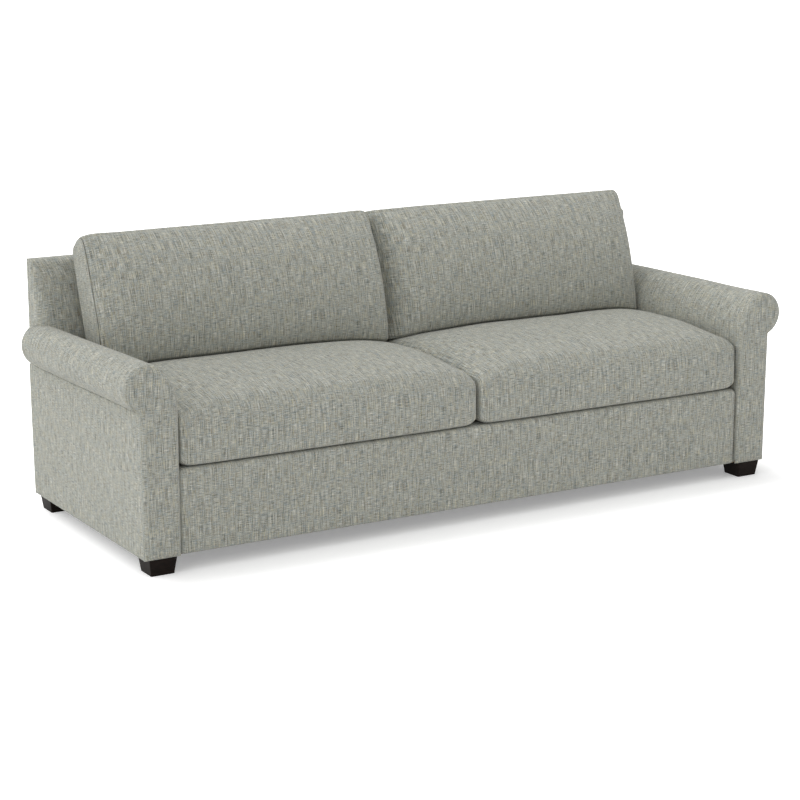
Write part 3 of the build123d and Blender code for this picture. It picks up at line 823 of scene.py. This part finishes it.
back_path = [(inside_back(z), z) for z in [back_foot + back_level_step * i for i in range(17)]]
for degrees in (12, 25, 38, 51, 64, 77, 90):
    z = back_top - back_round * (1 - math.sin(math.radians(degrees)))
    back_path.append((back_span(z)[0], z))
top_start = back_path[-1][0]
back_path += [(top_start + (sofa_rear - rear_round - top_start) * i / 4, back_top) for i in range(1, 5)]
rows = []
for y, z in back_path:
    row = []
    reach = end_x - narrowed(end_round, end_top_round, back_top - z)
    for j in range(61):
        x = reach * (j / 30 - 1)
        calm = min(1.0, (reach - abs(x)) / back_calm)
        swell = drift((x, y, z), back_wave, back_wave_rise) * calm
        row.append((x, y - swell, z + swell * back_wave_lift))
    rows.append(row)
mesh = panel("inside_back", rows, False)
inside = fit("inside_back", mesh, tweed, "sofa_frame", "tweed", "back_inside_cover", "back_padding")

end_levels = [end_foot + end_level_step * i for i in range(14)]
end_levels += [back_top - d for d in (0.03, 0.022, 0.016, 0.011, 0.007, 0.004, 0.002, 0.0006, 0.0)]
ends = []
for side, sx in (("left", -1.0), ("right", 1.0)):
    mesh = padded_face(
        side + "_back_end",
        end_levels,
        back_span,
        lambda z: (back_span(z)[0], sofa_rear + 2 * end_round),
        end_round,
        lambda y, z, back: (sx * (end_x - (back if z > arm_covers_end else 0.0)), y, z),
        sx < 0,
        end_columns,
        end_top_round,
    )
    end = fit(side + "_back_end", welded(mesh), tweed, "sofa_frame", "tweed", side + "_back_end_panel")
    ends.append(end)

rear_levels = [arm_bottom + rear_round * n for n in rim_shares]
rear_levels += [rear_level_foot + rear_level_step * i for i in range(21)]
rear_levels += [back_top - rear_round * n for n in reversed(rim_shares)]
mesh = padded_face(
    "outside_back",
    rear_levels,
    lambda z: (-end_x, end_x),
    lambda z: (-end_x, end_x),
    rear_round,
    lambda x, z, back: (x, sofa_rear - back, z),
    True,
    rear_columns,
)
outside = fit("outside_back", mesh, tweed, "sofa_frame", "tweed", "back_outside_panel")
smoothed(inside, outside, *ends)

# Feet: four square blocks, tapered towards the floor, screwed by hanger bolts into tee nuts under the arms.
# Beech stained near black and lacquered: the grain barely shows and the lacquer has a soft shine.
# Its level pores are drawn about 2.5 mm apart and 20 mm long.
beech_pore = 0.0025
beech_pore_run = 0.02
stained, tree, shader = finish_named("espresso_stained_beech", Roughness=0.5)
shader.inputs["Specular IOR Level"].default_value = 0.07
spot = add(tree, "ShaderNodeTexCoord")
grain = add(
    tree,
    "ShaderNodeMapping",
    {"Vector": spot.outputs["Object"]},
    {"Scale": (1 / beech_pore_run, 1 / beech_pore_run, 1 / beech_pore)},
)
pores = add(tree, "ShaderNodeTexNoise", {"Vector": grain.outputs[0]}, {"Scale": 1.0, "Detail": 5.0})
tone = add(tree, "ShaderNodeValToRGB", {"Fac": pores.outputs["Fac"]})
tone.color_ramp.elements[0].position = 0.3
tone.color_ramp.elements[0].color = linear("120e0c")
tone.color_ramp.elements[1].position = 0.75
tone.color_ramp.elements[1].color = linear("221a16")
tree.links.new(tone.outputs["Color"], shader.inputs["Base Color"])
lacquer = add(
    tree, "ShaderNodeBump", {"Height": pores.outputs["Fac"]}, {"Strength": 0.15, "Distance": 0.0003}
)
tree.links.new(lacquer.outputs["Normal"], shader.inputs["Normal"])
finish_solids(("front_left_foot", "front_right_foot", "rear_left_foot", "rear_right_foot"), stained)

# Seat cushions: tweed covers over a foam block in fibre wrap, soft and crowned. One width of cloth runs up
# the front and over the top without a seam, and the ends are separate panels. The zip is at the rear.


def inflated(piece, held, cap):
    """Let the cover fill out by up to the cap under pressure from its stuffing. It is held at the seams and
    where it rests, and the movement is evened out from point to point.
    """
    frames = 20
    evening_rounds = 15
    rest = [v.co.copy() for v in piece.data.vertices]
    group = piece.vertex_groups.new(name="held")
    group.add(held, 1.0, "REPLACE")
    cloth = piece.modifiers.new("cloth", "CLOTH")
    cloth.settings.quality = 5
    cloth.settings.mass = 0.3
    cloth.settings.tension_stiffness = 25.0
    cloth.settings.compression_stiffness = 25.0
    cloth.settings.shear_stiffness = 10.0
    cloth.settings.bending_stiffness = 1.0
    cloth.settings.use_pressure = True
    cloth.settings.uniform_pressure_force = 4.0
    cloth.settings.effector_weights.gravity = 0.0
    cloth.settings.vertex_group_mass = "held"
    cloth.collision_settings.use_collision = False
    for step in range(1, frames + 1):
        bpy.context.scene.frame_set(step)
    settled = piece.evaluated_get(bpy.context.evaluated_depsgraph_get())
    moved = [v.co.copy() for v in settled.data.vertices]
    piece.modifiers.remove(cloth)
    bpy.context.scene.frame_set(1)
    moves = []
    for before, after in zip(rest, moved):
        move = after - before
        moves.append(move * min(1.0, cap / max(move.length, 1e-9)))
    still = set(held)
    beside = [[] for _ in moves]
    for edge in piece.data.edges:
        a, b = edge.vertices
        beside[a].append(b)
        beside[b].append(a)
    for _ in range(evening_rounds):
        moves = [
            m if i in still else sum((moves[j] for j in beside[i]), Vector()) / len(beside[i])
            for i, m in enumerate(moves)
        ]
    for vertex, before, move in zip(piece.data.vertices, rest, moves):
        vertex.co = before + move


def sewn(piece, seam, depth):
    """Draw the cloth in along a seam and keep the line sharp."""
    shell = bmesh.new()
    shell.from_mesh(piece.data)
    shell.verts.ensure_lookup_table()
    shell.normal_update()
    for index in seam:
        vertex = shell.verts[index]
        vertex.co -= vertex.normal * depth
    line = set(seam)
    sharp = shell.edges.layers.float.new("crease_edge")
    for edge in shell.edges:
        if edge.verts[0].index in line and edge.verts[1].index in line:
            edge[sharp] = 1.0
    shell.to_mesh(piece.data)
    shell.free()


seat_end_top = 0.478
seat_front = -0.428
seat_crown = 0.020
seat_arch = 0.028
seat_arch_y = -0.08
seat_arch_half = 0.33
seat_arch_ends = 0.6
seat_square_outer = 9.0
seat_square_inner = 6.0
seat_square_loss = 2.5
seat_loss_from = -0.1
seat_loss_run = 0.2
seat_press = 0.005
seat_press_from = 0.118
seat_press_run = 0.03
seat_wave = 0.16
seat_wave_rise = 0.003
seat_front_wave = 0.14
seat_front_wave_rise = 0.002
seat_front_swell = 0.005
seat_front_ends = 0.007
seat_front_square = 6.0
seat_outer_corner = 0.018
seat_inner_corner = 0.03
seat_low_corner = 0.035
seat_rounds = (0.008, 0.008, 0.036, 0.02, 0.014, 0.038)
seat_steps = (0.015, 0.025, 0.018)
seat_rest_height = 0.03
seat_rest_y = 0.1
seat_fill_out = 0.01
on_end_panel = 0.004
seat_boxes = {}


def seat_top(side, x, y):
    """Height of a seat cushion's top: crowned, squarer at its outer end, and pressed by the back cushion."""
    low, high = seat_boxes[side]
    across = 2.0 * (x - low[0]) / (high[0] - low[0]) - 1.0
    square = seat_square_inner if (across > 0.0) == (side == "left") else seat_square_outer
    square -= seat_square_loss * clamped((y - seat_loss_from) / seat_loss_run)
    rise = 1.0 - abs(across) ** square
    back = (y - seat_arch_y) / seat_arch_half
    arch = max(0.0, 1.0 - back * back)
    arch *= seat_arch_ends + (1.0 - seat_arch_ends) * rise
    top = seat_crown * rise + seat_arch * arch
    press = clamped((y - seat_press_from) / seat_press_run)
    top -= seat_press * press * press * (3.0 - 2.0 * press)
    return seat_end_top + top + drift((x, y, 0.0), seat_wave, seat_wave_rise)


for side in ("left", "right"):
    low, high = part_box(side + "_seat_cushion_cover")
    low = (low[0], seat_front, low[2])
    high = (high[0], high[1], seat_end_top)
    seat_boxes[side] = (low, high)
    middle = (low[0] + high[0]) / 2

    def seat_shape(place, share):
        """Crown the top, swell the front and round the corners at both ends."""
        x, y, z = place
        rise = 1.0 - abs(2.0 * share[0] - 1.0) ** seat_front_square
        lift = clamped((z - low[2]) / (high[2] - low[2]))
        front = 1.0 - share[1]
        z += (seat_top(side, x, y) - seat_end_top) * lift**1.5
        y += seat_front_ends * (1.0 - rise) * front
        y -= seat_front_swell * math.sin(math.pi * lift) * rise * front
        y += drift((x, 5.0, z), seat_front_wave, seat_front_wave_rise) * front
        near = max(0.0, min(x - low[0], high[0] - x))
        inner_end = (x > middle) == (side == "left")
        top_corner = seat_inner_corner if inner_end else seat_outer_corner
        if near < top_corner:
            bend = top_corner - near
            z -= (top_corner - math.sqrt(top_corner**2 - bend**2)) * lift**2
        if near < seat_low_corner:
            bend = seat_low_corner - near
            z += (seat_low_corner - math.sqrt(seat_low_corner**2 - bend**2)) * (1.0 - lift) * front**2
        return (x, y, z)

    mesh, seam = stuffed(side + "_seat_cushion", low, high, seat_rounds, seat_steps, seat_shape)
    nodes = [side + "_seat_cushion_cover", side + "_seat_cushion_core"]
    cushion = fit(side + "_seat_cushion", mesh, tweed, side + "_seat_cushion", "tweed", *nodes)
    rest = set(seam)
    for vertex in mesh.vertices:
        x, y, z = vertex.co
        resting = z < low[2] + seat_rest_height or y > seat_rest_y
        if resting or min(x - low[0], high[0] - x) < on_end_panel:
            rest.add(vertex.index)
    inflated(cushion, sorted(rest), seat_fill_out)
    smoothed(cushion)

# Back cushions: tweed covers over foam in fibre wrap, leaning on the inside back and standing on the seat.
# One width of cloth runs up the front and over the rounded top, and the sides are boxing panels
# joined by a plain seam. The zip is underneath.
cushion_rake = math.radians(18.2)
cushion_seam_y = 0.122
cushion_seam_z = 0.490
cushion_deep = 0.116
cushion_tall = 0.455
front_swell = 0.05
rear_swell = 0.034
swell_reach = 0.13
swell_tight_reach = 0.03
swell_tight_least = 0.15
swell_flat = 0.78
swell_top = 0.16
swell_foot = 0.12
swell_foot_loss = 0.55
front_lean = 0.010
front_hollow = 0.020
slump_reach = 0.11
slump_depth = 0.11
slump_foot = 0.2
slump_least = 0.4
crown_lift = 0.004
fall_reach = 0.06
fall_back = 0.004
fall_down = 0.010
top_slope = 0.003
inner_dip = 0.006
inner_dip_reach = 0.03
back_cushion_wave = 0.14
back_cushion_wave_rise = 0.003
back_cushion_round = 0.014
back_cushion_steps = (0.015, 0.012, 0.015)
back_cushion_left_gap = 0.002
back_cushion_right_gap = 0.004
stand_y = 0.117
stand_sink = 0.005
back_rest_depth = 0.06
back_rest_height = 0.54
back_fill_out = 0.012
seam_depth = 0.009

# Corners of the side section: depth, height, and whether each is at the rear and at the top
section_corners = ((0.026, 0.03, 0, 1), (0.09, 0.052, 1, 1), (0.024, 0.022, 0, 0), (0.04, 0.03, 1, 0))


def rounded_section(t, s):
    """Round the four corners of the cushion's side section, each by its own depth and height.
    T runs from the front to the rear of the section and s up it.
    """
    for deep, tall, rear, upper in section_corners:
        u = (t - cushion_deep + deep) / deep if rear else (deep - t) / deep
        v = (s - cushion_tall + tall) / tall if upper else (tall - s) / tall
        if u > 0.0 and v > 0.0:
            pull = 1.0 - max(u, v) / math.hypot(u, v)
            t -= u * pull * deep * (1 if rear else -1)
            s -= v * pull * tall * (1 if upper else -1)
    return t, s


for side in ("left", "right"):
    low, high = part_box(side + "_back_cushion_cover")
    back_low = (low[0] + back_cushion_left_gap, 0.0, 0.0)
    back_high = (high[0] - back_cushion_right_gap, cushion_deep, cushion_tall)

    def back_shape(place, share):
        """Swell the front and rear, let the ends slump, stand the cushion on the seat and lean it back."""
        x, t, s = place
        ahead = 1.0 - t / cushion_deep
        height = s / cushion_tall
        near = max(0.0, min(x - back_low[0], back_high[0] - x))
        across = 2.0 * share[0] - 1.0
        t, s = rounded_section(t, s)
        tight = side == "left" and across > 0.0
        reach = swell_tight_reach if tight else swell_reach
        wide = swell_flat * (1.0 - (1.0 - min(1.0, near / reach)) ** 2)
        wide += (1.0 - swell_flat) * (1.0 - across**2)
        if tight:
            wide = max(wide, swell_tight_least)
        upper = 1.0 - max(0.0, 1.0 - (cushion_tall - s) / swell_top) ** 2
        lower = 1.0 - swell_foot_loss * max(0.0, 1.0 - s / swell_foot) ** 2
        t -= front_swell * wide * upper * lower * ahead
        t += (front_lean - front_hollow * math.sin(math.pi * height)) * ahead
        if side == "right":
            slump = max(0.0, 1.0 - max(0.0, x - back_low[0]) / slump_reach)
            fall = 1.0 - math.sqrt(1.0 - slump**2)
            fall *= slump_least + (1.0 - slump_least) * min(1.0, height / slump_foot)
            t += slump_depth * fall * ahead
            s += crown_lift * (1.0 - across**2) * height
        t += rear_swell * wide * math.sin(math.pi * height) * (1.0 - ahead)
        t += drift((x, s, 3.0), back_cushion_wave, back_cushion_wave_rise) * ahead
        if side == "left":
            fall = max(0.0, 1.0 - (x - back_low[0]) / fall_reach) ** 2
            t += fall_back * fall * ahead
            s -= (fall_down * fall - top_slope * across) * height
            s -= inner_dip * max(0.0, 1.0 - (back_high[0] - x) / inner_dip_reach) ** 2 * height
        stand = seat_top(side, x, stand_y) - stand_sink
        foot = (stand - cushion_seam_z + t * math.sin(cushion_rake)) / math.cos(cushion_rake)
        s = foot + s * (cushion_tall - foot) / cushion_tall
        y = cushion_seam_y + s * math.sin(cushion_rake) + t * math.cos(cushion_rake)
        z = cushion_seam_z + s * math.cos(cushion_rake) - t * math.sin(cushion_rake)
        return (x, y, z)

    rounds = [back_cushion_round] * 6
    mesh, seam = stuffed(
        side + "_back_cushion", back_low, back_high, rounds, back_cushion_steps, back_shape
    )
    nodes = [side + "_back_cushion_cover", side + "_back_cushion_core"]
    cushion = fit(side + "_back_cushion", mesh, tweed, side + "_back_cushion", "tweed", *nodes)
    rest = set(seam)
    for vertex in mesh.vertices:
        x, y, z = vertex.co
        depth = (y - cushion_seam_y) * math.cos(cushion_rake) - (z - cushion_seam_z) * math.sin(cushion_rake)
        resting = depth > back_rest_depth or z < back_rest_height
        if resting or min(x - back_low[0], back_high[0] - x) < on_end_panel:
            rest.add(vertex.index)
    inflated(cushion, sorted(rest), back_fill_out)
    sewn(cushion, seam, seam_depth)
    smoothed(cushion)

# Zips: nylon coil zips, sewn into the rear of each seat cushion and the underside of each back cushion,
# so that the covers come off.
# Nylon: moulded and dyed to match the cloth. The coil's cross ribs are about 1.5 mm apart and are drawn
# 9.5 mm apart so that they show.
zip_rib = 0.00952
nylon, tree, shader = finish_named("dyed_nylon_zip", Roughness=0.5)
spot = add(tree, "ShaderNodeTexCoord")
coil = add(
    tree,
    "ShaderNodeTexWave",
    {"Vector": spot.outputs["Object"]},
    {"Scale": wave_length / zip_rib, "Distortion": 0.3},
)
tone = add(tree, "ShaderNodeValToRGB", {"Fac": coil.outputs["Fac"]})
tone.color_ramp.elements[0].color = linear("70736b")
tone.color_ramp.elements[1].color = linear("979a91")
tree.links.new(tone.outputs["Color"], shader.inputs["Base Color"])
ribs = add(tree, "ShaderNodeBump", {"Height": coil.outputs["Fac"]}, {"Strength": 0.6, "Distance": 0.0006})
tree.links.new(ribs.outputs["Normal"], shader.inputs["Normal"])
for side in ("left", "right"):
    finish_solids([side + "_seat_cushion_zip", side + "_back_cushion_zip"], nylon)
